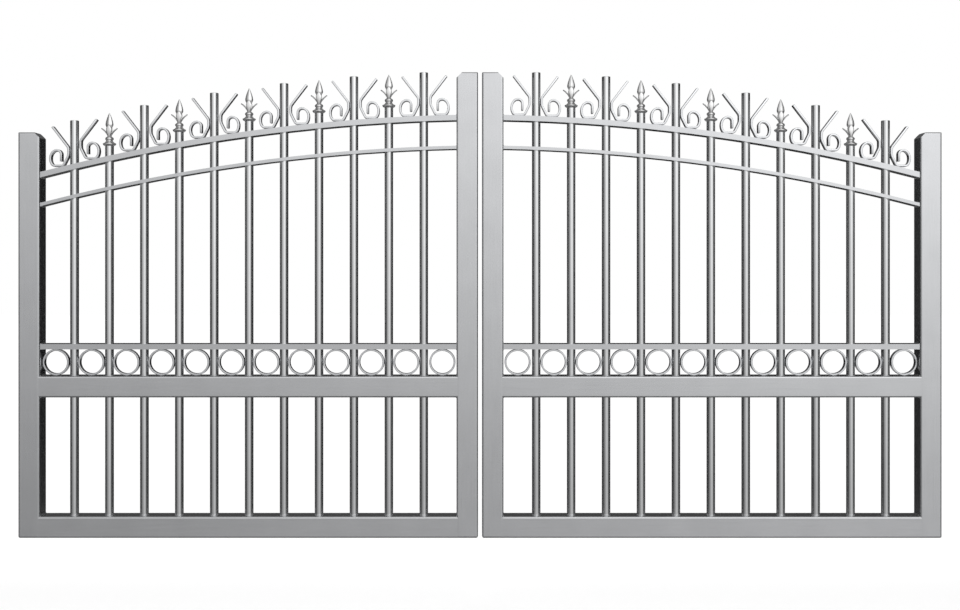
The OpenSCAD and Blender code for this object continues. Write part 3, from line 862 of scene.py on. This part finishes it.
class GATE_OT_stage(bpy.types.Operator):
    """Sets the white studio: camera, lamps, floor, light tent and world"""
    bl_idname = "gate.stage"
    bl_label = "Studio"
    distance: length("Camera distance", "From the camera to the leaves' front faces", 4938)
    eye_height: length("Camera height", "Above the leaves' bottoms", 1050)
    lens: bpy.props.FloatProperty(name="Lens", description="Focal length in millimetres",
                                  default=49.76)
    framing: bpy.props.FloatProperty(name="Framing", description="Vertical shift of the frame",
                                     default=-0.051)
    ground_gap: length("Ground gap", "From the floor up to the leaves' bottoms", 60)

    def execute(self, context):
        low, high = (Vector(c) for c in CAD_BOX)
        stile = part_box("left_hinge_stile")
        self.middle = (low.x + high.x) / 2
        self.front = stile[0].y
        self.foot = stile[0].z
        self.camera(context)
        self.lamps()
        self.floor(context)
        self.tent()
        self.world(context)
        context.scene.view_settings.view_transform = "Standard"
        return {"FINISHED"}

    def camera(self, context):
        deselect()
        place = (self.middle, self.front - self.distance, self.foot + self.eye_height)
        bpy.ops.object.camera_add(location=place, rotation=(math.pi / 2, 0, 0))
        camera = context.object
        camera.data.lens = self.lens
        camera.data.sensor_width = 36
        camera.data.shift_y = self.framing
        camera.data.clip_end = 100
        context.scene.camera = camera

    def lamp(self, name, place, strength):
        """A wide soft lamp, in the direction of place. In the metal the tent's cloth stands for it."""
        deselect()
        turn = (-Vector(place)).to_track_quat("-Z", "Y").to_euler()
        bpy.ops.object.light_add(type="SUN", location=Vector(place) * 10, rotation=turn)
        lamp = bpy.context.object
        lamp.name = name
        lamp.data.angle = math.radians(LAMP_WIDTH)
        lamp.data.energy = strength
        lamp.visible_glossy = False
        # a chance bounce that finds so strong a lamp would leave a bright speck
        lamp.data.cycles.use_multiple_importance_sampling = False

    def lamps(self):
        self.lamp("Front lamp", (0.1, -1, 0.12), 1.7)
        self.lamp("Back lamp", (0, 1, 0.1), 3.6)

    def floor(self, context):
        deselect()
        bpy.ops.mesh.primitive_plane_add(
            size=FLOOR_SIDE, location=(self.middle, self.front, self.foot - self.ground_gap))
        floor = settle(context.object)
        floor.name = "Floor"
        material = bpy.data.materials.new("Pale studio floor")
        material.use_nodes = True
        tree = material.node_tree
        tree.nodes.clear()
        paint = add_node(tree, "ShaderNodeBsdfDiffuse", {"Color": context.scene.gate_finishes.floor})
        # the camera sees a white floor that still takes the gate's shadow
        glow = add_node(tree, "ShaderNodeEmission", {"Strength": FLOOR_GLOW})
        lifted = add_node(tree, "ShaderNodeAddShader",
                          links={0: paint.outputs["BSDF"], 1: glow.outputs["Emission"]})
        mix = add_node(tree, "ShaderNodeMixShader",
                       links={0: seen_rays(tree), 1: paint.outputs["BSDF"],
                              2: lifted.outputs["Shader"]})
        add_node(tree, "ShaderNodeOutputMaterial", links={"Surface": mix.outputs["Shader"]})
        floor.data.materials.append(material)
        floor.visible_glossy = False

    def tent(self):
        """A light tent that only reflections see, which gives the bars bright middles and dark edges.

        It lights nothing and casts no shadow.
        """
        deselect()
        centre = (self.middle, self.front, self.foot + self.eye_height)
        bpy.ops.mesh.primitive_uv_sphere_add(segments=64, ring_count=32, radius=TENT_RADIUS,
                                             location=centre)
        tent = settle(bpy.context.object)
        tent.name = "Light tent"
        tent.visible_camera = tent.visible_diffuse = tent.visible_shadow = False
        tent.visible_transmission = False
        tent.data.materials.append(self.tent_cloth(centre))

    def tent_cloth(self, centre):
        """White cloth in front, brightest a little to the right and higher up, and black elsewhere.

        Above and below the black cloth at the sides and the rear, the tent is grey.
        """
        material = bpy.data.materials.new("Tent cloth")
        material.cycles.emission_sampling = "NONE"
        material.use_nodes = True
        tree = material.node_tree
        tree.nodes.clear()
        place = add_node(tree, "ShaderNodeTexCoord")
        centred = add_node(tree, "ShaderNodeMapping", {"vector_type": "TEXTURE", "Location": centre},
                           {"Vector": place.outputs["Object"]})
        there = add_node(tree, "ShaderNodeSeparateXYZ", links={0: centred.outputs["Vector"]})
        towards = add_node(tree, "ShaderNodeMath", {"operation": "MULTIPLY", 1: -1.0},
                           {0: there.outputs["Y"]})
        around = add_node(tree, "ShaderNodeMath", {"operation": "ARCTAN2"},
                          {0: there.outputs["X"], 1: towards.outputs[0]})
        turn = add_node(tree, "ShaderNodeMapRange", {"From Min": -math.pi, "From Max": math.pi},
                        {"Value": around.outputs[0]})
        rise = add_node(tree, "ShaderNodeMapRange",
                        {"From Min": -TENT_RADIUS, "From Max": TENT_RADIUS},
                        {"Value": there.outputs["Z"]})
        shades = []
        for source, span, stops in ((turn, 180, FRONT_CLOTH), (rise, 1, CLOTH_HEIGHT),
                                    (rise, 1, REAR_CLOTH)):
            cloth = add_node(tree, "ShaderNodeValToRGB", links={"Fac": source.outputs["Result"]})
            elements = cloth.color_ramp.elements
            elements.remove(elements[1])
            elements[0].position = 0
            elements[0].color = (*[stops[0][1]] * 3, 1)
            for at, shade in stops[1:]:
                elements.new(at / span / 2 + 0.5).color = (shade, shade, shade, 1)
            shades.append(cloth.outputs["Color"])
        front = add_node(tree, "ShaderNodeMath", {"operation": "MULTIPLY"},
                         {0: shades[0], 1: shades[1]})
        lit = add_node(tree, "ShaderNodeMath", {"operation": "MULTIPLY", 1: TENT_LEVEL},
                       {0: front.outputs[0]})
        brighter = add_node(tree, "ShaderNodeMath", {"operation": "MAXIMUM"},
                            {0: lit.outputs[0], 1: shades[2]})
        glow = add_node(tree, "ShaderNodeEmission", links={"Strength": brighter.outputs[0]})
        add_node(tree, "ShaderNodeOutputMaterial", links={"Surface": glow.outputs["Emission"]})
        return material

    def world(self, context):
        world = bpy.data.worlds.new("White studio")
        context.scene.world = world
        world.use_nodes = True
        world.cycles.sampling_method = "NONE"
        tree = world.node_tree
        tree.nodes.clear()
        soft = add_node(tree, "ShaderNodeBackground",
                        {"Color": linear("#FFFFFF"), "Strength": ROOM_LEVEL})
        white = add_node(tree, "ShaderNodeBackground", {"Color": linear("#FFFFFF"), "Strength": 1.0})
        mix = add_node(tree, "ShaderNodeMixShader",
                       links={0: seen_rays(tree), 1: soft.outputs["Background"],
                              2: white.outputs["Background"]})
        add_node(tree, "ShaderNodeOutputWorld", links={"Surface": mix.outputs["Shader"]})


def seen_rays(tree):
    """1 for what the camera, a reflection or a transmission sees, and 0 for what lights a surface."""
    path = add_node(tree, "ShaderNodeLightPath")
    both = add_node(tree, "ShaderNodeMath", {"operation": "MAXIMUM"},
                    {0: path.outputs["Is Camera Ray"], 1: path.outputs["Is Glossy Ray"]})
    return add_node(tree, "ShaderNodeMath", {"operation": "MAXIMUM"},
                    {0: both.outputs[0], 1: path.outputs["Is Transmission Ray"]}).outputs[0]


OPERATORS = (GATE_OT_stage, GATE_OT_frames, GATE_OT_bars, GATE_OT_rings, GATE_OT_scrolls,
             GATE_OT_spear_heads, GATE_OT_hinge_fittings, GATE_OT_welds)


class GATE_PT_panel(bpy.types.Panel):
    """Lists the gate's pieces"""
    bl_idname = "GATE_PT_panel"
    bl_label = "Gate"
    bl_space_type = "VIEW_3D"
    bl_region_type = "UI"
    bl_category = "Gate"

    def draw(self, context):
        for operator in OPERATORS:
            self.layout.operator(operator.bl_idname)
        for group in (context.scene.gate_finishes, context.scene.gate_scrolls):
            for name in group.__annotations__:
                self.layout.prop(group, name)


CLASSES = (GateFinishes, GateScrolls, *OPERATORS, GATE_PT_panel)


def register():
    for cls in CLASSES:
        bpy.utils.register_class(cls)
    bpy.types.Scene.gate_finishes = bpy.props.PointerProperty(type=GateFinishes)
    bpy.types.Scene.gate_scrolls = bpy.props.PointerProperty(type=GateScrolls)


def unregister():
    del bpy.types.Scene.gate_scrolls
    del bpy.types.Scene.gate_finishes
    for cls in reversed(CLASSES):
        bpy.utils.unregister_class(cls)


def main():
    register()
    for operator in OPERATORS:
        group, name = operator.bl_idname.split(".")
        getattr(getattr(bpy.ops, group), name)()


if __name__ == "__main__":
    main()
